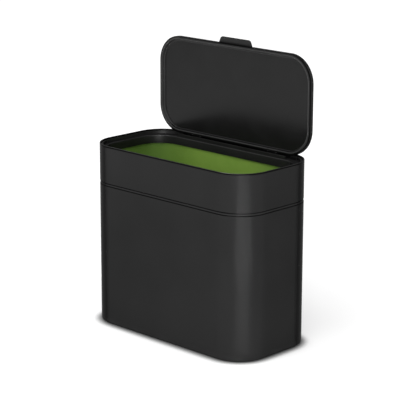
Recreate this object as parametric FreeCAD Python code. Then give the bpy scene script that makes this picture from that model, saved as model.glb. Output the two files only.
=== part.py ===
import FreeCAD, Part
import math
import os

# A countertop compost caddy with a steel body, a lift-off steel collar, a hinged lid and a
# removable inner bucket. Millimetres, +Z up, the long side along X, the hinge at +Y.
# The origin is the middle of the footprint on the surface that the feet stand on.
# The lid is drawn shut and then turned open, as it stands at rest.

# Overall body
body_width = 254.0
body_depth = 128.5
body_height = 221.2
corner_radius = 37.8

# Steel sheet and its folded edges
sheet = 0.8
hem_thick = 2.0
hem_height = 6.0
hem_round = 0.5
top_hem_thick = 1.8
top_hem_height = 8.0
top_hem_round = 0.8

# Base tray under the steel body
skirt_gap = 0.5
band_top = 7.0
tray_skirt = 3.6
tray_floor = 2.4
tray_round = 2.4
flange_reach = 12.0
rib_height = 2.5
rib_wall = 2.0
rib_inset = 18.0

# Feet
foot_radius = 7.0
foot_thick = 2.0
foot_pocket = 0.8
foot_play = 0.1
foot_boss_wall = 1.5
foot_inset_x = 28.0
foot_inset_y = 24.0
foot_round = 0.5

# Screws that hold the steel body to the tray
base_screw_radius = 1.5
base_screw_head = 3.0
base_head_height = 1.7
base_screw_length = 4.4
base_screw_inset = 6.5
base_screw_y = 22.0
base_boss_wall = 2.0
screw_play = 0.05

# Seam ring between the steel body and the collar
collar_height = 45.6
seam_height = 3.6
seam_recess = 0.4
groove_height = 0.7
groove_depth = 1.3
ring_skirt = 14.0
ring_wall = 1.4
ring_gap = 0.15
ring_round = 0.3

# Plastic frame inside the collar
frame_gap = 0.4
frame_wall = 2.0
frame_top_drop = 1.6
frame_top_round = 0.5
spigot_drop = 10.6
spigot_gap = 0.3
spigot_wall = 1.3
step_thick = 2.0
ledge_drop = 5.4
ledge_thick = 2.0
opening_inset = 8.9
opening_back_inset = 14.95
lip_depth = 10.0
lip_wall = 2.0
ledge_round = 1.0

# Lid
lid_side_inset = 5.25
lid_end_inset = 4.65
lid_corner_radius = 33.0
lid_thick = 6.4
seat_gap = 0.85
lid_rim = 4.2
lid_recess = 3.2
panel_thick = 1.6
panel_gap = 0.1
skin_set_back = 0.3
skin_round = 1.6
rim_round = 0.7
rim_inner_round = 0.5
recess_round = 1.0

# Lid gasket
gasket_inset = 2.4
gasket_width = 1.2
gasket_proud = 0.5
gasket_seat = 1.2
gasket_play = 0.02

# Finger tab at the lid's front edge
tab_width = 53.0
tab_tip_width = 47.0
tab_reach = 7.0
tab_radius = 4.5
tab_lift = 0.2
tab_top_drop = 0.15
tab_round = 0.5
tongue_width = 44.0
tongue_length = 14.0
tab_play = 0.1

# Hinge
hinge_inset = 5.45
hinge_drop = 0.2
open_angle = 90
pin_radius = 1.1
pin_play = 0.05
pin_seat_play = 0.02
pin_end_gap = 0.4
knuckle_radius = 2.0
knuckle_width = 7.0
knuckle_root = 1.8
tower_set_in = 26.0
tower_width = 12.0
tower_web = 2.0
tower_web_set = 0.8
washer_thick = 0.6
washer_play = 0.1
washer_radius = 1.9
notch_above_pin = 2.5
notch_before_pin = 2.9
skin_notch_before_pin = 3.2
notch_play = 0.4

# Hinge housing on the back ledge
housing_half = 88.0
housing_set_in = 1.7
housing_slab = 3.0
housing_gap = 0.2
housing_back_gap = 0.4
bar_thick = 2.0
bar_height = 3.7
bar_round = 0.3
shelf_thick = 2.0
housing_screw_set_in = 13.0
housing_screw_inset = 7.2
housing_screw_radius = 1.1
housing_screw_head = 2.2
housing_head_height = 1.4
housing_screw_length = 4.4

# Inner bucket
bucket_wall = 1.6
bucket_set_out = 1.3
bucket_rim_reach = 0.5
bucket_rim_height = 5.0
bucket_rim_round = 0.5
bucket_top_gap = 0.4
bucket_draft = 4.2
bucket_floor = 2.0
bucket_foot_round = 6.0

# Cuts run past the faces that they open by this much
overrun = 2.0

# Worked-out places
half_width = body_width / 2
half_depth = body_depth / 2
seam_high = body_height - collar_height
seam_low = seam_high - seam_height
ledge_z = body_height - ledge_drop
lip_bottom = ledge_z - lip_depth
frame_top = body_height - frame_top_drop
spigot_bottom = seam_high - spigot_drop
opening_half = half_width - opening_inset
opening_front = -half_depth + opening_inset
opening_back = half_depth - opening_back_inset
opening_radius = corner_radius - opening_inset
hinge_y = half_depth - hinge_inset
hinge_z = body_height - hinge_drop
lid_bottom = ledge_z + seat_gap
lid_top = lid_bottom + lid_thick
lid_half = half_width - lid_side_inset
lid_end = half_depth - lid_end_inset
housing_front = opening_back + housing_set_in
housing_back = half_depth - top_hem_thick - housing_back_gap
slab_bottom = ledge_z - housing_slab
shelf_bottom = slab_bottom - shelf_thick
tower_place = housing_half - tower_set_in
housing_screw_place = housing_half - housing_screw_set_in
bucket_bottom = band_top + rib_height
bucket_top = lip_bottom - bucket_top_gap
knuckle_gap = washer_thick + 2 * washer_play
x_axis = FreeCAD.Vector(1, 0, 0)
z_axis = FreeCAD.Vector(0, 0, 1)


def outline(x0, x1, y0, y1, radius, z):
    """A closed wire at height z: a rectangle with four round corners."""
    diagonal_share = 1 - math.sqrt(0.5)
    lean = radius * diagonal_share
    corners = [
        ((x1 - radius, y0), (x1 - lean, y0 + lean), (x1, y0 + radius)),
        ((x1, y1 - radius), (x1 - lean, y1 - lean), (x1 - radius, y1)),
        ((x0 + radius, y1), (x0 + lean, y1 - lean), (x0, y1 - radius)),
        ((x0, y0 + radius), (x0 + lean, y0 + lean), (x0 + radius, y0)),
    ]
    arcs = [[FreeCAD.Vector(x, y, z) for x, y in corner] for corner in corners]
    edges = []
    for arc, following in zip(arcs, arcs[1:] + arcs[:1]):
        edges.append(Part.Arc(*arc).toShape())
        edges.append(Part.makeLine(arc[2], following[0]))
    return Part.Wire(edges)


def slab(x0, x1, y0, y1, radius, z0, z1):
    """A round-cornered plate from z0 up to z1."""
    face = Part.Face(outline(x0, x1, y0, y1, radius, z0))
    return face.extrude(FreeCAD.Vector(0, 0, z1 - z0))


def body_slab(inset, z0, z1):
    """A plate with the body's outline, drawn in by inset on every side."""
    wide = half_width - inset
    deep = half_depth - inset
    return slab(-wide, wide, -deep, deep, corner_radius - inset, z0, z1)


def body_ring(outer_inset, inner_inset, z0, z1):
    """A ring that follows the body's outline."""
    inner = body_slab(inner_inset, z0 - overrun, z1 + overrun)
    return body_slab(outer_inset, z0, z1).cut(inner)


def lid_slab(inset, z0, z1):
    """A plate with the shut lid's outline, drawn in by inset on every side."""
    wide = lid_half - inset
    deep = lid_end - inset
    return slab(-wide, wide, -deep, deep, lid_corner_radius - inset, z0, z1)


def block(x0, x1, y0, y1, z0, z1):
    """A plain box between two corners."""
    return Part.makeBox(x1 - x0, y1 - y0, z1 - z0, FreeCAD.Vector(x0, y0, z0))


def upright(radius, x, y, z0, z1):
    """A round bar that stands at x, y."""
    return Part.makeCylinder(radius, z1 - z0, FreeCAD.Vector(x, y, z0), z_axis)


def along_hinge(radius, x0, x1):
    """A round bar on the hinge line."""
    return Part.makeCylinder(radius, x1 - x0, FreeCAD.Vector(x0, hinge_y, hinge_z), x_axis)


def edges_at(shape, z):
    """The edges that lie flat at height z."""
    tiny = sheet / 1000
    return [e for e in shape.Edges if abs(e.BoundBox.ZMin - z) < tiny and abs(e.BoundBox.ZMax - z) < tiny]


def edges_within(edges, x_half, y0, y1):
    """Those of the edges that lie inside a rectangle in plan."""
    slack = sheet / 10
    kept = []
    for edge in edges:
        box = edge.BoundBox
        across = max(abs(box.XMin), abs(box.XMax)) < x_half + slack
        along = box.YMin > y0 - slack and box.YMax < y1 + slack
        if across and along:
            kept.append(edge)
    return kept


def opened(shape):
    """A shut lid's piece, turned open about the hinge line."""
    return shape.rotate(FreeCAD.Vector(0, hinge_y, hinge_z), x_axis, -open_angle)


def both_sides(make):
    """The same piece made at the left and at the right."""
    return make(-1).fuse(make(1))


def ordered(a, b):
    return min(a, b), max(a, b)


def make_lower_shell():
    """Steel body: a sleeve with a folded top edge and a flange turned in at the bottom."""
    shell = body_slab(0, band_top, seam_low)
    shell = shell.cut(body_slab(hem_thick, seam_low - hem_height, seam_low + overrun))
    shell = shell.cut(body_slab(sheet, band_top + sheet, seam_low - hem_height))
    shell = shell.cut(body_slab(flange_reach, band_top - overrun, band_top + sheet))
    shell = shell.makeFillet(hem_round, edges_at(shell, seam_low))
    for x, y in base_screw_places():
        hole = base_screw_radius + screw_play
        shell = shell.cut(upright(hole, x, y, band_top - overrun, band_top + overrun))
    return shell


def base_screw_places():
    x = half_width - base_screw_inset
    return [(sx * x, sy * base_screw_y) for sx in (-1, 1) for sy in (-1, 1)]


def foot_places():
    x = half_width - foot_inset_x
    y = half_depth - foot_inset_y
    return {
        "foot_pad_front_left": (-x, -y),
        "foot_pad_front_right": (x, -y),
        "foot_pad_back_left": (-x, y),
        "foot_pad_back_right": (x, y),
    }


def make_base_tray():
    """Plastic tray that closes the body from below and carries the feet and the bucket."""
    tray = body_slab(0, skirt_gap, band_top)
    tray = tray.makeFillet(tray_round, edges_at(tray, skirt_gap))
    floor_bottom = band_top - tray_floor
    tray = tray.cut(body_slab(tray_skirt, -overrun, floor_bottom))
    tray = tray.fuse(body_ring(rib_inset, rib_inset + rib_wall, band_top, band_top + rib_height))
    pocket_top = foot_thick
    boss_bottom = foot_thick - foot_pocket
    for x, y in foot_places().values():
        boss_radius = foot_radius + foot_boss_wall
        tray = tray.fuse(upright(boss_radius, x, y, boss_bottom, floor_bottom))
        tray = tray.cut(upright(foot_radius + foot_play, x, y, -overrun, pocket_top))
    screw_bottom = band_top + sheet - base_screw_length
    boss_radius = base_screw_radius + base_boss_wall
    for x, y in base_screw_places():
        tray = tray.fuse(upright(boss_radius, x, y, screw_bottom - base_boss_wall / 2, floor_bottom))
        tray = tray.cut(upright(base_screw_radius + screw_play, x, y, screw_bottom, band_top + overrun))
    return tray


def make_foot(x, y):
    """A round rubber pad, seated in its pocket under the tray."""
    pad = upright(foot_radius, x, y, 0, foot_thick)
    return pad.makeFillet(foot_round, edges_at(pad, 0))


def make_screw(radius, length, head_radius, head_height, x, y, z, up):
    """A round-headed screw whose head rests at z; up is 1 when the head is on top."""
    head_low, head_high = ordered(z, z + up * head_height)
    head = upright(head_radius, x, y, head_low, head_high)
    head = head.makeFillet(head_height / 3, edges_at(head, z + up * head_height))
    low, high = ordered(z - up * length, z + up * head_height / 2)
    return head.fuse(upright(radius, x, y, low, high))


def make_base_screws():
    top = band_top + sheet
    screws = []
    for x, y in base_screw_places():
        screws.append(make_screw(base_screw_radius, base_screw_length, base_screw_head,
                                 base_head_height, x, y, top, 1))
    return Part.makeCompound(screws)


def make_seam_ring():
    """Plastic ring in the top of the body: the collar stands on it, with a groove above and below its band."""
    band_low = seam_low + groove_height
    band_high = seam_high - groove_height
    band = body_slab(seam_recess, band_low, band_high)
    band = band.makeFillet(ring_round, edges_at(band, band_low) + edges_at(band, band_high))
    flange = body_slab(groove_depth, seam_low, seam_high)
    skirt_outer = hem_thick + ring_gap
    skirt = body_slab(skirt_outer, seam_low - ring_skirt, seam_low + seam_height / 2)
    hollow = body_slab(skirt_outer + ring_wall, seam_low - ring_skirt - overrun, seam_high + overrun)
    return flange.fuse([band, skirt]).cut(hollow)


def make_collar_shell():
    """Steel collar with both edges folded in and rounded."""
    shell = body_slab(0, seam_high, body_height)
    shell = shell.cut(body_slab(hem_thick, seam_high - overrun, seam_high + hem_height))
    shell = shell.cut(body_slab(sheet, seam_high + hem_height, body_height - top_hem_height))
    shell = shell.cut(body_slab(top_hem_thick, body_height - top_hem_height, body_height + overrun))
    shell = shell.makeFillet(hem_round, edges_at(shell, seam_high))
    return shell.makeFillet(top_hem_round, edges_at(shell, body_height))


def opening_slab(grow, z0, z1):
    """A plate with the outline of the mouth, grown by grow on every side."""
    wide = opening_half + grow
    return slab(-wide, wide, opening_front - grow, opening_back + grow, opening_radius + grow, z0, z1)


def make_collar_sleeve():
    """Plastic sleeve in the collar: a wall that carries the frame, a step on the seam ring and a spigot."""
    wall_outer = top_hem_thick + frame_gap
    wall_inner = wall_outer + frame_wall
    spigot_outer = hem_thick + ring_gap + ring_wall + spigot_gap
    spigot_inner = spigot_outer + spigot_wall
    step_top = seam_high + step_thick
    wall = body_ring(wall_outer, wall_inner, seam_high, lip_bottom)
    step = body_ring(wall_outer, spigot_inner, seam_high, step_top)
    spigot = body_ring(spigot_outer, spigot_inner, spigot_bottom, step_top)
    return wall.fuse([step, spigot])


def make_collar_frame():
    """Plastic frame on the sleeve: outer wall, lid ledge, mouth lip and hinge shelf."""
    wall_outer = top_hem_thick + frame_gap
    wall_inner = wall_outer + frame_wall
    wall = body_slab(wall_outer, lip_bottom, frame_top)
    wall = wall.makeFillet(frame_top_round, edges_at(wall, frame_top))
    wall = wall.cut(body_slab(wall_inner, ledge_z, frame_top + overrun))
    wall = wall.cut(opening_slab(0, ledge_z - ledge_thick - overrun, ledge_z + overrun))
    mouth_edges = edges_within(edges_at(wall, ledge_z), opening_half, opening_front, opening_back)
    wall = wall.makeFillet(ledge_round, mouth_edges)
    wall = wall.cut(body_slab(wall_inner, lip_bottom - overrun, ledge_z - ledge_thick))
    lip = opening_slab(lip_wall, lip_bottom, ledge_z - ledge_thick / 2)
    lip = lip.cut(opening_slab(0, lip_bottom - overrun, ledge_z + overrun))
    shelf = block(-housing_half - lip_wall, housing_half + lip_wall, opening_back + lip_wall / 2,
                  half_depth - wall_outer - frame_wall / 2, shelf_bottom, ledge_z - ledge_thick / 2)
    frame = wall.fuse([lip, shelf])
    frame = frame.cut(block(-housing_half - housing_gap, housing_half + housing_gap,
                            housing_front - housing_gap, half_depth, slab_bottom, body_height))
    for x, y in housing_screw_places():
        hole = housing_screw_radius + screw_play
        frame = frame.cut(upright(hole, x, y, shelf_bottom - overrun, slab_bottom + overrun))
    return frame


def housing_screw_places():
    y = half_depth - housing_screw_inset
    return [(x, y) for x in (-housing_screw_place, 0, housing_screw_place)]


def make_hinge_housing():
    """Plastic hinge block: a slab in the ledge, a bar in front and two towers for the pins."""
    body = block(-housing_half, housing_half, housing_front, housing_back, slab_bottom, ledge_z)
    bar = block(-housing_half, housing_half, housing_front, housing_front + bar_thick,
                slab_bottom, ledge_z + bar_height)
    bar = bar.makeFillet(bar_round, edges_at(bar, ledge_z + bar_height))
    body = body.fuse(bar)
    web_front = hinge_y + tower_web_set
    for side in (-1, 1):
        x0 = side * tower_place - tower_width / 2
        x1 = x0 + tower_width
        body = body.fuse(block(x0, x1, web_front, web_front + tower_web, slab_bottom, hinge_z))
        body = body.fuse(along_hinge(knuckle_radius, x0, x1))
        body = body.cut(along_hinge(pin_radius + pin_play, x0 - overrun, x1 + overrun))
    for x, y in housing_screw_places():
        top = shelf_bottom + housing_screw_length
        body = body.cut(upright(housing_screw_radius + screw_play, x, y, slab_bottom - overrun, top))
    return body


def make_housing_screws():
    screws = []
    for x, y in housing_screw_places():
        screws.append(make_screw(housing_screw_radius, housing_screw_length, housing_screw_head,
                                 housing_head_height, x, y, shelf_bottom, -1))
    return Part.makeCompound(screws)


def make_hinge_washers():
    """Friction washers on the pins, one at each side of each tower."""
    washers = []
    for side in (-1, 1):
        for end in (-1, 1):
            face = side * tower_place + end * (tower_width / 2 + washer_play)
            x0, x1 = ordered(face, face + end * washer_thick)
            washer = along_hinge(washer_radius, x0, x1)
            washers.append(washer.cut(along_hinge(pin_radius + pin_play, x0 - overrun, x1 + overrun)))
    return Part.makeCompound(washers)


def knuckle_span():
    """Half the length along x of one hinge: tower, washers and both knuckles."""
    return tower_width / 2 + knuckle_gap + knuckle_width


def make_hinge_pin(side):
    reach = knuckle_span() - pin_end_gap
    centre = side * tower_place
    return opened(along_hinge(pin_radius, centre - reach, centre + reach))


def make_lid_skin():
    """Steel cap of the lid, cut back at the two hinges and slotted for the tab."""
    skin = lid_slab(0, lid_bottom + skin_set_back, lid_top)
    skin = skin.makeFillet(skin_round, edges_at(skin, lid_top))
    skin = skin.cut(lid_slab(sheet, lid_bottom - overrun, lid_top - sheet))
    for side in (-1, 1):
        reach = knuckle_span() + notch_play
        x0 = side * tower_place - reach
        skin = skin.cut(block(x0, x0 + 2 * reach, hinge_y - skin_notch_before_pin, half_depth,
                              lid_bottom - overrun, lid_top + overrun))
    slot = tongue_width / 2 + tab_play
    skin = skin.cut(block(-slot, slot, -half_depth, -lid_end + 2 * sheet, tab_bottom(), lid_top - sheet))
    return opened(skin)


def make_lid_panel():
    """Plastic inside of the lid: a rim round a recessed panel, with the hinge knuckles."""
    panel = lid_slab(sheet + panel_gap, lid_bottom, lid_top - sheet)
    panel = panel.makeFillet(rim_round, edges_at(panel, lid_bottom))
    recess = lid_slab(lid_rim, lid_bottom - overrun, lid_bottom + lid_recess)
    recess = recess.makeFillet(recess_round, edges_at(recess, lid_bottom + lid_recess))
    panel = panel.cut(recess)
    inner_edges = edges_within(edges_at(panel, lid_bottom), lid_half - lid_rim,
                               -lid_end + lid_rim, lid_end - lid_rim)
    panel = panel.makeFillet(rim_inner_round, inner_edges)
    plate_top = lid_bottom + lid_recess + panel_thick
    panel = panel.cut(lid_slab(lid_rim, plate_top, lid_top))
    groove = gasket_inset + gasket_width
    panel = panel.cut(lid_slab(gasket_inset, lid_bottom - overrun, lid_bottom + gasket_seat).cut(
        lid_slab(groove, lid_bottom - 2 * overrun, lid_bottom + 2 * overrun)))
    slot = tongue_width / 2 + tab_play
    panel = panel.cut(block(-slot, slot, -half_depth, -lid_end + tongue_length + tab_play,
                            tab_bottom() - tab_play / 2, lid_top))
    for side in (-1, 1):
        panel = add_knuckles(panel, side * tower_place)
    return opened(panel)


def add_knuckles(panel, centre):
    """The panel with a notch for one tower and a knuckle at each side of it."""
    inner = tower_width / 2 + knuckle_gap
    outer = inner + knuckle_width
    panel = panel.cut(block(centre - inner, centre + inner, hinge_y - notch_before_pin, half_depth,
                            hinge_z - notch_above_pin, lid_top + overrun))
    for end in (-1, 1):
        x0, x1 = ordered(centre + end * inner, centre + end * outer)
        root = block(x0, x1, hinge_y - knuckle_root, hinge_y, hinge_z - knuckle_radius, lid_top - sheet)
        panel = panel.fuse([along_hinge(knuckle_radius, x0, x1), root])
    hole = pin_radius + pin_seat_play
    return panel.cut(along_hinge(hole, centre - outer - overrun, centre + outer + overrun))


def make_lid_gasket():
    """Soft ring in the groove of the lid's rim."""
    outer = gasket_inset + gasket_play
    inner = gasket_inset + gasket_width - gasket_play
    low = lid_bottom - gasket_proud
    high = lid_bottom + gasket_seat
    ring = lid_slab(outer, low, high).cut(lid_slab(inner, low - overrun, high + overrun))
    return opened(ring)


def tab_bottom():
    """Underside of the shut tab, which clears the collar's top edge."""
    return body_height + tab_lift


def make_lid_tab():
    """Finger tab: a rounded blade in front of the lid and a tongue held under the skin."""
    root = tab_width / 2
    tip = tab_tip_width / 2
    front = -lid_end - tab_reach
    points = [(-root, -lid_end), (-tip, front), (tip, front), (root, -lid_end)]
    corners = [FreeCAD.Vector(x, y, tab_bottom()) for x, y in points]
    blade = Part.Face(Part.makePolygon(corners + corners[:1]))
    blade = blade.extrude(FreeCAD.Vector(0, 0, lid_top - tab_top_drop - tab_bottom()))
    uprights = [e for e in blade.Edges if e.BoundBox.ZLength > tab_lift and e.BoundBox.YMax < -lid_end - tab_play]
    blade = blade.makeFillet(tab_radius, uprights)
    flat = edges_at(blade, lid_top - tab_top_drop) + edges_at(blade, tab_bottom())
    blade = blade.makeFillet(tab_round, [e for e in flat if e.BoundBox.YMin < -lid_end - tab_play])
    half = tongue_width / 2
    tongue = block(-half, half, -lid_end - tab_play, -lid_end + tongue_length, tab_bottom(), lid_top - sheet)
    return opened(blade.fuse(tongue))


def bucket_outline(grow, z):
    """The bucket's outline at height z, grown by grow; it narrows downwards."""
    drop_share = (bucket_top - z) / (bucket_top - bucket_bottom)
    out = bucket_set_out + bucket_wall + grow - bucket_draft * drop_share
    wide = opening_half + out
    return outline(-wide, wide, opening_front - out, opening_back + out, opening_radius + out, z)


def bucket_loft(grow, z0, z1):
    return Part.makeLoft([bucket_outline(grow, z0), bucket_outline(grow, z1)], True, True)


def make_inner_bucket():
    """Removable bucket with drafted walls, a thick rim and a rounded foot."""
    body = bucket_loft(0, bucket_bottom, bucket_top)
    body = body.makeFillet(bucket_foot_round, edges_at(body, bucket_bottom))
    rim_bottom = bucket_top - bucket_rim_height
    rim = bucket_loft(bucket_rim_reach, rim_bottom, bucket_top)
    rim = rim.makeFillet(bucket_rim_round, edges_at(rim, bucket_top) + edges_at(rim, rim_bottom))
    hollow = bucket_loft(-bucket_wall, bucket_bottom + bucket_floor, bucket_top + overrun)
    inner_round = bucket_foot_round - bucket_wall
    hollow = hollow.makeFillet(inner_round, edges_at(hollow, bucket_bottom + bucket_floor))
    return body.fuse(rim).cut(hollow)


def make_all():
    parts = {
        "lower_shell": make_lower_shell(),
        "base_tray": make_base_tray(),
        "base_screws": make_base_screws(),
        "seam_ring": make_seam_ring(),
        "collar_shell": make_collar_shell(),
        "collar_sleeve": make_collar_sleeve(),
        "collar_frame": make_collar_frame(),
        "hinge_housing": make_hinge_housing(),
        "housing_screws": make_housing_screws(),
        "hinge_washers": make_hinge_washers(),
        "hinge_pin_left": make_hinge_pin(-1),
        "hinge_pin_right": make_hinge_pin(1),
        "lid_skin": make_lid_skin(),
        "lid_panel": make_lid_panel(),
        "lid_gasket": make_lid_gasket(),
        "lid_tab": make_lid_tab(),
        "inner_bucket": make_inner_bucket(),
    }
    for name, (x, y) in foot_places().items():
        parts[name] = make_foot(x, y)
    return parts


def main():
    os.makedirs("parts", exist_ok=True)
    for name, shape in make_all().items():
        shape.exportStep("parts/" + name + ".step")
        box = shape.BoundBox
        print(name, "solids", len(shape.Solids), "valid", shape.isValid(), "volume", round(shape.Volume),
              "z", round(box.ZMin, 2), round(box.ZMax, 2))


main()
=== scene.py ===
import math

import bmesh
import bpy
from mathutils import Matrix, Vector


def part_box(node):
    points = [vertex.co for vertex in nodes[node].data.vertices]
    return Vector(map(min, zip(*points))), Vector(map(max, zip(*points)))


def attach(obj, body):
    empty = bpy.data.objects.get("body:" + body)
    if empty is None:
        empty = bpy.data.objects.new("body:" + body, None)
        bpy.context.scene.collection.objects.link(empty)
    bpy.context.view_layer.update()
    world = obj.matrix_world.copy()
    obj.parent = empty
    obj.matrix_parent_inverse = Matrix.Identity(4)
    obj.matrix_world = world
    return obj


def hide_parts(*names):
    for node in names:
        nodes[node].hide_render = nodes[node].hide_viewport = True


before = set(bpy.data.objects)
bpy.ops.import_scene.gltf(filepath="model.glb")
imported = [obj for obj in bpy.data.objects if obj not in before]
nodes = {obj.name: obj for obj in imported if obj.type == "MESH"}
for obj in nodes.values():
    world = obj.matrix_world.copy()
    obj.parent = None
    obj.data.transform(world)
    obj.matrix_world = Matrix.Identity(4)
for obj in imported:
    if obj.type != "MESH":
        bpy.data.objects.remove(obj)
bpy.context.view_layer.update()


def grey(level):
    """A colour with no hue."""
    return (level, level, level)


# ---------- node trees ----------

mix_colour_slots = (6, 7)
mix_colour_result = 2


class Recipe:
    """A node tree while it is put together. Most calls add nodes and give back their result."""

    def __init__(self, tree):
        self.tree = tree

    def add(self, kind):
        """A new node."""
        return self.tree.nodes.new(kind)

    def join(self, source, target):
        """A link from a result to a socket."""
        self.tree.links.new(source, target)

    def feed(self, value, target):
        """Fills a socket with a plain value, or with the result of another node."""
        if isinstance(value, bpy.types.NodeSocket):
            self.join(value, target)
        else:
            target.default_value = value

    def reckon(self, operation, first, second=0.0):
        """A Math node on two values, either of which may be a number."""
        node = self.add("ShaderNodeMath")
        node.operation = operation
        self.feed(first, node.inputs[0])
        self.feed(second, node.inputs[1])
        return node.outputs[0]

    def span(self, value, low=0.0, high=1.0, to_low=0.0, to_high=1.0, curve="LINEAR"):
        """A value stretched from one span to another, and held inside it."""
        node = self.add("ShaderNodeMapRange")
        node.interpolation_type = curve
        node.inputs["From Min"].default_value = low
        node.inputs["From Max"].default_value = high
        node.inputs["To Min"].default_value = to_low
        node.inputs["To Max"].default_value = to_high
        self.join(value, node.inputs["Value"])
        return node.outputs["Result"]

    def blend(self, share, first, second):
        """Two colours mixed by a share. Either may be the result of another node."""
        node = self.add("ShaderNodeMix")
        node.data_type = "RGBA"
        self.join(share, node.inputs["Factor"])
        for slot, colour in zip(mix_colour_slots, (first, second)):
            plain = isinstance(colour, tuple)
            self.feed(colour + (1,) if plain else colour, node.inputs[slot])
        return node.outputs[mix_colour_result]

    def seen_rays(self, path):
        """1 for the rays of the camera, of gloss and of see-through parts."""
        first = self.reckon("MAXIMUM", path.outputs["Is Camera Ray"], path.outputs["Is Glossy Ray"])
        return self.reckon("MAXIMUM", first, path.outputs["Is Transmission Ray"])


# ---------- camera, floor and light ----------

eye_point = Vector((1.3422, -1.3813, 0.6622))
aim_point = Vector((0.00695, 0.00675, 0.15069))
camera_roll = math.radians(0.221)
film_width = 36.0
lens_length = 145.7

white = (1, 1, 1, 1)
floor_half = 6.0
floor_colour = grey(0.66)
# The floor's glow from near the object to far from it: two distances, and the strength at each
floor_spread = (0.45, 1.1)
floor_glow = (0.41, 0.6)
# Painted shadow: the thin dark line where the object touches the floor
painted_contact_shadow = grey(0.22)
contact_shadow_reach = 0.014
contact_shadow_low = 0.5

sky_level = 0.7
open_spread = 180
# Softboxes aimed at the object: name, azimuth in degrees, distance, height, width, length,
# radiance, and whether gloss shows them
aimed_softboxes = (
    ("softbox_left", -165, 1.3, 0.3, 1.0, 0.6, 3.0, False),
    ("softbox_high", -75, 0.7, 1.7, 1.0, 1.0, 4.5, True),
    ("softbox_low", -46, 2.2, 0.4, 0.5, 0.16, 105.0, True),
)
softbox_aim = (0, 0, 0.15)
# Softboxes hung level over the floor outside the front right corner: azimuth, distance, height,
# width, length, radiance
corner_pools = (
    (-27.5, 0.205, 0.6, 0.05, 0.08, 1.7),
    (-30.0, 0.35, 0.6, 0.16, 0.18, 1.2),
    (-31.5, 0.74, 0.6, 0.5, 0.6, 1.85),
)
pool_spread = 10


def place_camera():
    """The camera at the photograph's viewing angle."""
    back = (eye_point - aim_point).normalized()
    level = Vector((0, 0, 1)).cross(back).normalized()
    upward = back.cross(level)
    right = level * math.cos(camera_roll) + upward * math.sin(camera_roll)
    top = upward * math.cos(camera_roll) - level * math.sin(camera_roll)
    data = bpy.data.cameras.new("camera")
    data.sensor_width = film_width
    data.lens = lens_length
    camera = bpy.data.objects.new("camera", data)
    bpy.context.scene.collection.objects.link(camera)
    turn = Matrix((right, top, back)).transposed().to_4x4()
    turn.translation = eye_point
    camera.matrix_world = turn
    bpy.context.scene.camera = camera


def place_softbox(name, azimuth, far, high, wide, long, radiance, glossy=True, aim=None,
                  spread=open_spread):
    """A soft rectangular lamp. With no aim it hangs level and shines straight down."""
    turn = math.radians(azimuth)
    data = bpy.data.lights.new(name, "AREA")
    data.shape = "RECTANGLE"
    data.size = wide
    data.size_y = long
    data.energy = radiance * wide * long * math.pi
    data.spread = math.radians(spread)
    lamp = bpy.data.objects.new(name, data)
    bpy.context.scene.collection.objects.link(lamp)
    lamp.location = (far * math.cos(turn), far * math.sin(turn), high)
    if aim:
        lamp.rotation_euler = (lamp.location - Vector(aim)).to_track_quat("Z", "Y").to_euler()
    else:
        lamp.rotation_euler = (0, 0, turn + math.pi / 2)
    lamp.visible_camera = False
    lamp.visible_glossy = glossy


def light_the_room():
    """A pale, even room, white to the camera and to gloss, with a few soft lamps."""
    world = bpy.data.worlds.new("studio")
    bpy.context.scene.world = world
    world.use_nodes = True
    recipe = Recipe(world.node_tree)
    seen = recipe.seen_rays(recipe.add("ShaderNodeLightPath"))
    background = recipe.tree.nodes["Background"]
    background.inputs["Color"].default_value = white
    recipe.join(recipe.span(seen, to_low=sky_level, to_high=1.0), background.inputs["Strength"])
    for softbox in aimed_softboxes:
        place_softbox(*softbox, aim=softbox_aim)
    for step, pool in enumerate(corner_pools):
        place_softbox("corner_pool_%d" % step, *pool, spread=pool_spread)


def make_floor_finish():
    """Matt pale floor that glows to the camera and to gloss, with a painted contact shadow under
    the object.
    """
    material = bpy.data.materials.new("pale floor")
    material.use_nodes = True
    recipe = Recipe(material.node_tree)
    surface = recipe.tree.nodes["Principled BSDF"]
    surface.inputs["Roughness"].default_value = 1.0
    surface.inputs["Specular IOR Level"].default_value = 0.0
    surface.inputs["Emission Color"].default_value = white
    path = recipe.add("ShaderNodeLightPath")
    # Painted shadow: occlusion near the object darkens the floor's colour and glow, but gloss does
    # not see it
    contact = recipe.add("ShaderNodeAmbientOcclusion")
    contact.inputs["Distance"].default_value = contact_shadow_reach
    clear = recipe.span(contact.outputs["AO"], contact_shadow_low, 1.0, curve="SMOOTHSTEP")
    share = recipe.reckon("MAXIMUM", clear, path.outputs["Is Glossy Ray"])
    recipe.join(recipe.blend(share, painted_contact_shadow, floor_colour), surface.inputs["Base Color"])
    away = recipe.add("ShaderNodeVectorMath")
    away.operation = "LENGTH"
    recipe.join(recipe.add("ShaderNodeTexCoord").outputs["Object"], away.inputs[0])
    level = recipe.span(away.outputs["Value"], *floor_spread, *floor_glow)
    open_glow = recipe.reckon("MULTIPLY", share, level)
    glow = recipe.reckon("MULTIPLY", open_glow, recipe.seen_rays(path))
    recipe.join(glow, surface.inputs["Emission Strength"])
    return material


def lay_floor():
    """A plain pale floor that keeps the object's shadow."""
    mesh = bpy.data.meshes.new("floor")
    shape = bmesh.new()
    bmesh.ops.create_grid(shape, x_segments=1, y_segments=1, size=floor_half)
    shape.to_mesh(mesh)
    shape.free()
    mesh.materials.append(make_floor_finish())
    floor = bpy.data.objects.new("floor", mesh)
    bpy.context.scene.collection.objects.link(floor)


# ---------- finishes ----------


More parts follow.
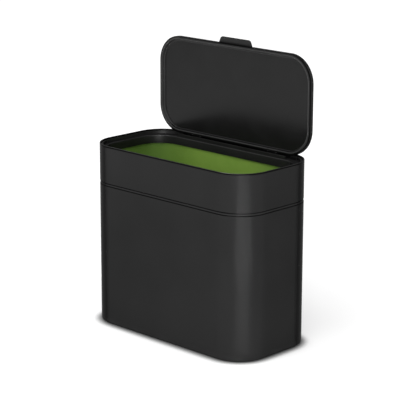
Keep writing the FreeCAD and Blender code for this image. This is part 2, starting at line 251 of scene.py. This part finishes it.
class Finish(Recipe):
    """One material while it is made: its surface, and the place of a point on the object."""

    def __init__(self, name, rough, specular, metal=0.0, edge=1.0):
        self.material = bpy.data.materials.new(name)
        self.material.use_nodes = True
        super().__init__(self.material.node_tree)
        self.surface = self.tree.nodes["Principled BSDF"]
        self.surface.inputs["Roughness"].default_value = rough
        self.surface.inputs["Specular IOR Level"].default_value = specular
        self.surface.inputs["Metallic"].default_value = metal
        self.surface.inputs["Specular Tint"].default_value = grey(edge) + (1,)
        self.place = self.add("ShaderNodeTexCoord").outputs["Object"]
        split = self.add("ShaderNodeSeparateXYZ")
        self.join(self.place, split.inputs[0])
        self.x, self.y, self.z = split.outputs

    def stretched(self, stretch):
        """The point's place, stretched along the axes."""
        mapping = self.add("ShaderNodeMapping")
        mapping.inputs["Scale"].default_value = stretch
        self.join(self.place, mapping.inputs["Vector"])
        return mapping.outputs["Vector"]

    def noise(self, scale, detail=2.0, rough=0.5, stretch=None, warp=0.0):
        """Soft clouds, from 0 to 1."""
        node = self.add("ShaderNodeTexNoise")
        node.inputs["Scale"].default_value = scale
        node.inputs["Detail"].default_value = detail
        node.inputs["Roughness"].default_value = rough
        node.inputs["Distortion"].default_value = warp
        self.join(self.stretched(stretch) if stretch else self.place, node.inputs["Vector"])
        return node.outputs["Fac"]

    def cells(self, scale):
        """Small round cells: the distance from the middle of each."""
        node = self.add("ShaderNodeTexVoronoi")
        node.inputs["Scale"].default_value = scale
        self.join(self.place, node.inputs["Vector"])
        return node.outputs["Distance"]

    def near(self, value, where, reach):
        """1 at a place along an axis, falling to 0 at reach on both sides."""
        off = self.reckon("ABSOLUTE", self.reckon("SUBTRACT", value, where))
        return self.span(off, 0.0, reach, 1.0, 0.0)

    def inset(self, half_wide, half_tall, radius, middle_z):
        """How far a point lies inside an upright rectangle with round corners."""
        across = self.reckon("SUBTRACT", self.reckon("ABSOLUTE", self.x), half_wide - radius)
        height = self.reckon("ABSOLUTE", self.reckon("SUBTRACT", self.z, middle_z))
        along = self.reckon("SUBTRACT", height, half_tall - radius)
        flat = self.reckon("MINIMUM", self.reckon("MAXIMUM", across, along), 0.0)
        legs = [self.reckon("POWER", self.reckon("MAXIMUM", leg, 0.0), 2.0)
                for leg in (across, along)]
        corner = self.reckon("SQRT", self.reckon("ADD", *legs))
        return self.reckon("SUBTRACT", self.reckon("SUBTRACT", radius, corner), flat)

    def colour(self, value):
        """Gives the surface its colour, and keeps it for a finish laid over this one."""
        self.coat = value
        self.join(value, self.surface.inputs["Base Color"])

    def rough(self, value):
        """Gives the surface its roughness."""
        self.join(value, self.surface.inputs["Roughness"])

    def relief(self, *layers):
        """Bumps laid over each other: (height, distance in metres, strength)."""
        normal = None
        for height, distance, strength in layers:
            node = self.add("ShaderNodeBump")
            node.inputs["Distance"].default_value = distance
            node.inputs["Strength"].default_value = strength
            self.join(height, node.inputs["Height"])
            if normal:
                self.join(normal, node.inputs["Normal"])
            normal = node.outputs["Normal"]
        self.join(normal, self.surface.inputs["Normal"])


# The parts of a noise's range that a finish makes use of
noise_span = (0.3, 0.7)
tone_span = (0.35, 0.7)

# What the black finishes share: a low gloss that hardly grows at a grazing angle
black_specular = 0.12
black_metal = 0.8
black_edge = 0.05


def black_finish(name, rough):
    """The start of a black finish."""
    return Finish(name, rough, black_specular, black_metal, black_edge)


# Coated steel. A bump is a distance in metres and a strength.
steel_rough = 0.2
steel_dark = 0.0222
steel_light = 0.0268
steel_cloud = {"scale": 9.0, "detail": 3.0}
steel_speck = {"scale": 2600.0, "detail": 1.0}
speck_tone = (0.7, 1.0)
speck_rough = (-0.02, 0.02)
speck_bump = (0.000006, 0.3)
steel_smear = {"scale": 24.0, "detail": 4.0, "rough": 0.6, "stretch": (1.0, 1.0, 0.45),
               "warp": 0.6}
smear_span = (0.4, 0.75)
smear_rough = (steel_rough - 0.02, steel_rough + 0.05)
steel_peel = {"scale": 420.0, "detail": 2.0}
peel_bump = (0.00002, 0.35)
# The weld line up the back of the body and the collar
weld_half = 0.0004
weld_bump = (-0.0002, 0.6)
back_face_y = 0.05
collar_top_z = 0.2212
# The collar's folded edge: painted shade down the hem, with a painted highlight along its top
hem_tall = 0.0022
hem_full = 0.7
hem_painted_shade = 0.004
lip_tall = 0.0004
lip_full = 0.6
lip_painted_highlight = 0.07
# How deep the painted shade on the lid's folded edge reaches
lid_shade_wide = 0.0008


def make_coated_steel(name, lid_shade_line=None):
    """Thin black coating over steel: fine orange peel, faint handling marks and a weld line.

    On the body and the collar the folded edge, found by its height, gets painted shade with a
    painted highlight along its top. The lid's folded edge gets painted shade in front of the line
    that it is given.
    """
    finish = black_finish(name, steel_rough)
    cloud = finish.noise(**steel_cloud)
    speck = finish.noise(**steel_speck)
    tone = finish.reckon("MULTIPLY", finish.span(cloud, *noise_span),
                         finish.span(speck, *noise_span, *speck_tone))
    coat = finish.blend(tone, grey(steel_dark), grey(steel_light))
    # Painted shade on the folded edges, with a painted highlight along the collar's top
    if lid_shade_line is None:
        hem = finish.span(finish.z, collar_top_z - hem_tall, collar_top_z - hem_tall * hem_full)
        lip = finish.span(finish.z, collar_top_z - lip_tall, collar_top_z - lip_tall * lip_full)
        painted_fold = finish.blend(lip, grey(hem_painted_shade), grey(lip_painted_highlight))
        finish.colour(finish.blend(hem, coat, painted_fold))
    else:
        painted_fold = finish.reckon("LESS_THAN", finish.y, lid_shade_line)
        finish.colour(finish.blend(painted_fold, coat, grey(hem_painted_shade)))
    worn = finish.span(finish.noise(**steel_smear), *smear_span, *smear_rough)
    finish.rough(finish.reckon("ADD", worn, finish.span(speck, *noise_span, *speck_rough)))
    behind = finish.reckon("MULTIPLY", finish.reckon("GREATER_THAN", finish.y, back_face_y),
                           finish.reckon("LESS_THAN", finish.z, collar_top_z))
    weld = finish.reckon("MULTIPLY", finish.near(finish.x, 0.0, weld_half), behind)
    finish.relief((finish.noise(**steel_peel), *peel_bump), (speck, *speck_bump),
                  (weld, *weld_bump))
    return finish


# Moulded plastic
plastic_grain = 1900.0
grain_span = (0.0, 0.6)
grain_rough = (0.02, -0.02)
grain_bump = (0.00001, 0.4)
plastic_flow = {"scale": 30.0, "detail": 3.0, "warp": 0.8}
flow_rough = (-0.02, 0.03)
plastic_ripple = {"scale": 300.0}
ripple_bump = (0.00001, 0.3)
# Painted shade: dark lines at the grooves of the seam
groove_half = 0.00035
groove_reach = 0.0005
groove_full = 0.3
groove_painted_shade = 0.003


def make_moulded_plastic(name, rough, dark, light, grooves=()):
    """Black moulded plastic with a fine spark-eroded grain, and painted shade as dark lines at any
    grooves.
    """
    finish = black_finish(name, rough)
    grain = finish.cells(plastic_grain)
    flow = finish.noise(**plastic_flow)
    tone = finish.blend(finish.span(flow, *tone_span), grey(dark), grey(light))
    for height in grooves:
        # Painted shade in each groove
        inside = finish.span(finish.near(finish.z, height, groove_reach), 0.0, groove_full)
        tone = finish.blend(inside, tone, grey(groove_painted_shade))
    finish.colour(tone)
    smooth, coarse = flow_rough
    finish.rough(finish.reckon("ADD",
                               finish.span(flow, *noise_span, rough + smooth, rough + coarse),
                               finish.span(grain, *grain_span, *grain_rough)))
    finish.relief((grain, *grain_bump), (finish.noise(**plastic_ripple), *ripple_bump))
    return finish


# The lid's inside, measured inwards from the lid's outline: painted shade along the edge, a lighter
# matt band and a painted highlight on the step down to the panel
lid_outline_radius = 0.033
rim_edge = 0.0015
rim_flat = 0.004
rim_wide = 0.0058
rim_fade = 0.0006
rim_matt_from = 0.014
edge_painted_shade = 0.013
flat_light = 0.024
step_painted_highlight = 0.036


def make_panel_plastic(name, rough, dark, light):
    """The lid's plastic inside: a glossy panel in a matt rim, which is glossy beside the hinge. The
    rim's outer edge is painted shade, its step down to the panel a painted highlight.
    """
    finish = make_moulded_plastic(name, rough, dark, light)
    low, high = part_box("lid_skin")
    inset = finish.inset(high.x, (high.z - low.z) / 2, lid_outline_radius, (high.z + low.z) / 2)
    above_hinge = finish.span(finish.z, low.z + rim_wide, low.z + rim_matt_from)
    in_rim = finish.span(inset, rim_wide, rim_wide + rim_fade, 1.0, 0.0)
    rim = finish.reckon("MULTIPLY", in_rim, above_hinge)
    # Painted shade along the outline, painted highlight on the step down to the panel
    past_edge = finish.reckon("GREATER_THAN", inset, rim_edge)
    past_flat = finish.reckon("GREATER_THAN", inset, rim_flat)
    flat = finish.blend(past_edge, grey(edge_painted_shade), grey(flat_light))
    step = finish.blend(past_flat, flat, grey(step_painted_highlight))
    finish.colour(finish.blend(rim, finish.coat, step))
    finish.join(finish.span(rim, 0.0, 1.0, black_metal, 0.0), finish.surface.inputs["Metallic"])
    return finish


# The bucket's green plastic, with painted light: lighter around the middle across its width
green_rough = 0.42
green_specular = 0.35
green_dark = (0.118, 0.222, 0.038)
green_light = (0.145, 0.257, 0.045)
painted_lit_green_dark = (0.185, 0.325, 0.05)
painted_lit_green_light = (0.23, 0.38, 0.064)
painted_light_at = -0.01
painted_light_reach = 0.1
painted_light_full = 0.6
green_cloud = {"scale": 16.0, "detail": 4.0, "rough": 0.6, "warp": 0.5}
cloud_share = 0.7
green_mottle = {"scale": 120.0, "detail": 3.0, "rough": 0.6}
mottle_share = 0.3
draw_lines = {"scale": 60.0, "detail": 2.0, "stretch": (14.0, 14.0, 0.6)}
draw_rough = (0.38, 0.48)
draw_bump = (0.00003, 0.25)
green_grain = 1500.0
green_grain_bump = (0.00001, 0.3)


def make_green_plastic():
    """Green bucket plastic: soft gloss, faint cloud in the pigment, fine draw lines in the wall,
    and painted light that is lighter near the middle.
    """
    finish = Finish("green plastic", green_rough, green_specular)
    cloud = finish.span(finish.noise(**green_cloud), *noise_span, 0.0, cloud_share)
    mottle = finish.span(finish.noise(**green_mottle), *noise_span, 0.0, mottle_share)
    tone = finish.reckon("ADD", cloud, mottle)
    # Painted light: lighter near the middle of the bucket, darker towards its ends
    painted_light = finish.span(finish.near(finish.x, painted_light_at, painted_light_reach), 0.0, painted_light_full)
    finish.colour(finish.blend(painted_light, finish.blend(tone, green_dark, green_light),
                               finish.blend(tone, painted_lit_green_dark, painted_lit_green_light)))
    lines = finish.noise(**draw_lines)
    finish.rough(finish.span(lines, *noise_span, *draw_rough))
    finish.relief((lines, *draw_bump), (finish.cells(green_grain), *green_grain_bump))
    return finish


# Rubber of the feet and the gasket
rubber_specular = 0.2
rubber_bloom = {"scale": 90.0, "detail": 5.0, "rough": 0.65}
bloom_rough = (-0.05, 0.08)
rubber_grain = 1400.0
rubber_grain_bump = (0.00002, 0.5)


def make_rubber(name, dark, light, rough):
    """Matt rubber with a dusty bloom."""
    finish = Finish(name, rough, rubber_specular)
    bloom = finish.noise(**rubber_bloom)
    finish.colour(finish.blend(finish.span(bloom, *tone_span), grey(dark), grey(light)))
    smooth, coarse = bloom_rough
    finish.rough(finish.span(bloom, *noise_span, rough + smooth, rough + coarse))
    finish.relief((finish.cells(rubber_grain), *rubber_grain_bump))
    return finish


# Bright steel of the screws and the hinge pins
bright_rough = 0.3
bright_specular = 0.5
bright_dark = 0.45
bright_light = 0.62
lathe_lines = {"scale": 900.0, "detail": 2.0, "stretch": (1.0, 1.0, 6.0)}
lathe_rough = (0.22, 0.4)
lathe_bump = (0.00001, 0.4)


def make_screw_steel():
    """Turned bright steel with fine lathe lines."""
    finish = Finish("screw steel", bright_rough, bright_specular, metal=1.0)
    lines = finish.noise(**lathe_lines)
    finish.colour(finish.blend(lines, grey(bright_dark), grey(bright_light)))
    finish.rough(finish.span(lines, *noise_span, *lathe_rough))
    finish.relief((lines, *lathe_bump))
    return finish


# Grey plastic of the hinge washers
washer_rough = 0.35
washer_specular = 0.4
washer_dark = (0.1, 0.1, 0.097)
washer_light = (0.14, 0.14, 0.136)
washer_cloud = {"scale": 300.0, "detail": 3.0}
washer_worn = (0.3, 0.42)
washer_grain = {"scale": 1500.0}
washer_grain_bump = (0.00001, 0.4)


def make_washer_plastic():
    """Grey slippery plastic of the hinge washers."""
    finish = Finish("washer plastic", washer_rough, washer_specular)
    cloud = finish.noise(**washer_cloud)
    finish.colour(finish.blend(cloud, washer_dark, washer_light))
    finish.rough(finish.span(cloud, *noise_span, *washer_worn))
    finish.relief((finish.noise(**washer_grain), *washer_grain_bump))
    return finish


# ---------- pieces ----------

crease_angle = math.radians(35)
merge_fine = 0.000001
merge_coarse = 0.00001

foot_steps = 40
foot_edge = 0.0005
foot_ridge = 0.0003
foot_rings = (0.74, 0.5, 0.26)

pin_steps = 24
pin_chamfer = 0.00035

gasket_wide = 0.0012
gasket_inset = 0.0024
gasket_slack = 0.00002
gasket_sides = 16
corner_steps = 16

# Screws: which way the head looks, and the sizes of head and shank
base_screw = {"up": 1, "head_radius": 0.003, "head_tall": 0.0017, "shank_radius": 0.0015,
              "shank_long": 0.0044}
housing_screw = {"up": -1, "head_radius": 0.0022, "head_tall": 0.0014, "shank_radius": 0.0011,
                 "shank_long": 0.0044}
screw_steps = 36
# Shares of the head's radius and height
socket_share = 0.42
socket_floor = 0.35
dome_share = 0.35
# The socket's bevel, in socket radii and dome heights
socket_bevel_wide = 1.15
socket_bevel_deep = 0.15
# The dome: shares of the head's radius, and dome heights below its top
dome_points = ((0.72, 0.2), (0.93, 1.0), (1.0, 1.6))
# The shank's tip: where it starts along the shank, and the share of the radius that it ends at
tip_start = 0.85
tip_share = 0.6
# What belongs to the socket's wall: above this share of the head's height, and a band of radii
wall_from = 0.3
wall_inside = 0.9
wall_outside = 1.05

rib_count = 7
rib_pitch = 0.025
rib_half_long = 0.0565
rib_thick = 0.0014
rib_sunk = 0.0002
rib_drop = 0.0019
rib_edge = 0.0003
rib_edge_segments = 2
tray_step = 0.0049


def new_piece(name, shape, finish, body, stands_for=None):
    """A finished mesh as an object that rides on a body, in place of a CAD node if it names one."""
    bmesh.ops.recalc_face_normals(shape, faces=shape.faces)
    mesh = bpy.data.meshes.new(name)
    shape.to_mesh(mesh)
    shape.free()
    mesh.materials.append(finish.material)
    for face in mesh.polygons:
        face.use_smooth = True
    mesh.set_sharp_from_angle(angle=crease_angle)
    piece = bpy.data.objects.new(name, mesh)
    bpy.context.scene.collection.objects.link(piece)
    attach(piece, body)
    if stands_for:
        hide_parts(stands_for)


def turned(shape, points, place, axis, side, steps):
    """A turned solid: the points (radius, height) spun about an axis through place."""
    verts = [shape.verts.new(place + side * radius + axis * height) for radius, height in points]
    edges = [shape.edges.new(pair) for pair in zip(verts, verts[1:])]
    bmesh.ops.spin(shape, geom=verts + edges, cent=place, axis=axis, angle=2 * math.pi,
                   steps=steps, use_merge=True)
    bmesh.ops.remove_doubles(shape, verts=shape.verts, dist=merge_fine)


def make_foot_pad(node):
    """A rubber pad with three raised rings on the face that it stands on."""
    low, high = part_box(node)
    middle = (low + high) / 2
    radius = high.x - middle.x
    tall = high.z - low.z
    points = [(0.0, tall), (radius, tall), (radius, foot_edge), (radius - foot_edge, 0.0)]
    for share in foot_rings:
        groove = radius * share
        points += [(groove + foot_edge, 0.0), (groove + foot_ridge, foot_ridge),
                   (groove - foot_ridge, foot_ridge), (groove - foot_edge, 0.0)]
    points.append((0.0, 0.0))
    shape = bmesh.new()
    turned(shape, points, Vector((middle.x, middle.y, low.z)), Vector((0, 0, 1)),
           Vector((1, 0, 0)), foot_steps)
    new_piece("ringed_" + node, shape, foot_rubber, "body", node)


def make_pin(node):
    """A turned hinge pin with chamfered ends."""
    low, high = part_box(node)
    middle = (low + high) / 2
    radius = (high.z - low.z) / 2
    long = high.x - low.x
    points = [(0.0, 0.0), (radius - pin_chamfer, 0.0), (radius, pin_chamfer),
              (radius, long - pin_chamfer), (radius - pin_chamfer, long), (0.0, long)]
    shape = bmesh.new()
    turned(shape, points, Vector((low.x, middle.y, middle.z)), Vector((1, 0, 0)),
           Vector((0, 0, 1)), pin_steps)
    new_piece("turned_" + node, shape, screw_steel, "lid", node)


def sweep_round(shape, ring, half_wide, half_tall, radius, middle):
    """The ring's edges drawn once round an upright rectangle with round corners."""
    side = half_wide - radius
    rise = half_tall - radius
    runs = (
        ((1, 0, 0), side, (1, -1)),
        ((0, 0, 1), 2 * rise, (1, 1)),
        ((-1, 0, 0), 2 * side, (-1, 1)),
        ((0, 0, -1), 2 * rise, (-1, -1)),
        ((1, 0, 0), side, None),
    )
    edges = ring
    for way, far, corner in runs:
        grown = bmesh.ops.extrude_edge_only(shape, edges=edges)["geom"]
        verts = [part for part in grown if isinstance(part, bmesh.types.BMVert)]
        edges = [part for part in grown if isinstance(part, bmesh.types.BMEdge)]
        edges = [edge for edge in edges if all(vert in verts for vert in edge.verts)]
        bmesh.ops.translate(shape, verts=verts, vec=Vector(way) * far)
        if corner:
            centre = middle + Vector((corner[0] * side, 0, corner[1] * rise))
            spun = bmesh.ops.spin(shape, geom=verts + edges, cent=centre, axis=(0, -1, 0),
                                  angle=math.pi / 2, steps=corner_steps)["geom_last"]
            edges = [part for part in spun if isinstance(part, bmesh.types.BMEdge)]
    bmesh.ops.remove_doubles(shape, verts=shape.verts, dist=merge_coarse)


def make_gasket():
    """The lid's seal: a round-nosed rubber bead seated in the groove of the rim."""
    low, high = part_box("lid_gasket")
    middle = (low + high) / 2
    nose = gasket_wide / 2 - gasket_slack
    half_wide = high.x - gasket_wide / 2
    half_tall = (high.z - low.z) / 2 - gasket_wide / 2
    radius = lid_outline_radius - gasket_inset - gasket_wide / 2
    shape = bmesh.new()
    bmesh.ops.create_circle(shape, segments=gasket_sides, radius=nose)
    bmesh.ops.rotate(shape, verts=shape.verts, cent=(0, 0, 0),
                     matrix=Matrix.Rotation(math.pi / 2, 3, "Y"))
    deep = [vert for vert in shape.verts if vert.co.y > 0]
    bmesh.ops.translate(shape, verts=deep, vec=(0, high.y - low.y - 2 * nose, 0))
    bmesh.ops.translate(shape, verts=shape.verts, vec=(0, low.y + nose, middle.z - half_tall))
    sweep_round(shape, shape.edges[:], half_wide, half_tall, radius, Vector((0, 0, middle.z)))
    new_piece("bead_gasket", shape, gasket_rubber, "lid", "lid_gasket")


def make_screw(shape, place, up, head_radius, head_tall, shank_radius, shank_long):
    """A round-headed screw with a six-sided socket."""
    socket = head_radius * socket_share
    floor = head_tall * socket_floor
    dome = head_tall * dome_share
    points = [(0.0, floor), (socket, floor), (socket, head_tall - dome * socket_bevel_deep),
              (socket * socket_bevel_wide, head_tall)]
    points += [(head_radius * wide, head_tall - dome * deep) for wide, deep in dome_points]
    points += [(head_radius, 0.0), (shank_radius, 0.0), (shank_radius, -shank_long * tip_start),
               (shank_radius * tip_share, -shank_long), (0.0, -shank_long)]
    known = set(shape.verts)
    turned(shape, points, place, Vector((0, 0, up)), Vector((1, 0, 0)), screw_steps)
    for vert in shape.verts:
        off = vert.co - place
        in_wall = socket * wall_inside < math.hypot(off.x, off.y) < socket * wall_outside
        if vert not in known and in_wall and off.z * up > head_tall * wall_from:
            corner = (math.atan2(off.y, off.x) % (math.pi / 3)) - math.pi / 6
            share = math.cos(math.pi / 6) / math.cos(corner)
            vert.co = place + Vector((off.x * share, off.y * share, off.z))


def take_island(start, left):
    """The vertices that are joined up with a first one, taken out of the set that is left."""
    left.remove(start)
    island = [start]
    edge = [start]
    while edge:
        vert = edge.pop()
        for link in vert.link_edges:
            other = link.other_vert(vert)
            if other in left:
                left.remove(other)
                island.append(other)
                edge.append(other)
    return island


def make_screws(node, body, screw):
    """All the screws of a CAD node, at the places of its loose parts."""
    copy = bmesh.new()
    copy.from_mesh(nodes[node].data)
    bmesh.ops.remove_doubles(copy, verts=copy.verts, dist=merge_coarse)
    shape = bmesh.new()
    left = set(copy.verts)
    for start in copy.verts:
        if start not in left:
            continue
        xs, ys, zs = zip(*(vert.co for vert in take_island(start, left)))
        head = screw["head_tall"]
        seat = max(zs) - head if screw["up"] > 0 else min(zs) + head
        place = Vector(((min(xs) + max(xs)) / 2, (min(ys) + max(ys)) / 2, seat))
        make_screw(shape, place, **screw)
    copy.free()
    new_piece("socket_" + node, shape, screw_steel, body, node)


def make_tray_ribs():
    """Moulded cross ribs that stiffen the tray from below."""
    low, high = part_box("base_tray")
    top = high.z - tray_step + rib_sunk
    shape = bmesh.new()
    for step in range(rib_count):
        made = bmesh.ops.create_cube(shape, size=2.0)["verts"]
        bmesh.ops.scale(shape, verts=made, vec=(rib_thick / 2, rib_half_long, rib_drop / 2))
        lower = [vert for vert in made if vert.co.z < 0]
        x = (step - (rib_count - 1) / 2) * rib_pitch
        bmesh.ops.translate(shape, verts=made, vec=(x, 0.0, top - rib_drop / 2))
        edges = [edge for edge in shape.edges if all(vert in lower for vert in edge.verts)]
        bmesh.ops.bevel(shape, geom=edges, offset=rib_edge, segments=rib_edge_segments,
                        profile=0.5, affect="EDGES", material=-1)
    new_piece("tray_ribs", shape, tray_plastic, "body")


def dress(node, finish):
    """A CAD node with a new finish in its material slots."""
    materials = nodes[node].data.materials
    if not materials:
        materials.append(finish.material)
    for slot in range(len(materials)):
        materials[slot] = finish.material


# ---------- the bin ----------

place_camera()
bpy.context.scene.view_settings.view_transform = "Standard"
light_the_room()
lay_floor()

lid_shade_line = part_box("lid_skin")[0].y + lid_shade_wide
seam_grooves = (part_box("lower_shell")[1].z + groove_half,
                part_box("collar_shell")[0].z - groove_half)
coated_steel = make_coated_steel("coated steel")
lid_steel = make_coated_steel("coated lid steel", lid_shade_line)
moulded_plastic = make_moulded_plastic("moulded black plastic", rough=0.34,
                                       dark=0.0285, light=0.0335)
panel_plastic = make_panel_plastic("lid panel plastic", rough=0.24, dark=0.0236, light=0.0256)
frame_plastic = make_moulded_plastic("frame plastic", rough=0.4, dark=0.034, light=0.04)
tray_plastic = make_moulded_plastic("tray plastic", rough=0.26, dark=0.024, light=0.029)
seam_plastic = make_moulded_plastic("seam plastic", rough=0.26, dark=0.024, light=0.029,
                                    grooves=seam_grooves)
green_plastic = make_green_plastic()
foot_rubber = make_rubber("foot rubber", dark=0.012, light=0.02, rough=0.6)
gasket_rubber = make_rubber("gasket rubber", dark=0.024, light=0.034, rough=0.42)
screw_steel = make_screw_steel()
washer_plastic = make_washer_plastic()

corners = ("front_left", "front_right", "back_left", "back_right")
foot_pads = ["foot_pad_" + corner for corner in corners]
hinge_pins = ["hinge_pin_left", "hinge_pin_right"]
dressed = (
    (coated_steel, ["lower_shell", "collar_shell"]),
    (lid_steel, ["lid_skin"]),
    (tray_plastic, ["base_tray"]),
    (seam_plastic, ["seam_ring"]),
    (frame_plastic, ["collar_sleeve", "collar_frame"]),
    (moulded_plastic, ["hinge_housing", "lid_tab"]),
    (panel_plastic, ["lid_panel"]),
    (green_plastic, ["inner_bucket"]),
    (gasket_rubber, ["lid_gasket"]),
    (foot_rubber, foot_pads),
    (screw_steel, ["base_screws", "housing_screws"] + hinge_pins),
    (washer_plastic, ["hinge_washers"]),
)
for finish, names in dressed:
    for name in names:
        dress(name, finish)

for foot_pad in foot_pads:
    make_foot_pad(foot_pad)
for hinge_pin in hinge_pins:
    make_pin(hinge_pin)
make_gasket()
make_screws("base_screws", "body", base_screw)
make_screws("housing_screws", "collar", housing_screw)
make_tray_ribs()
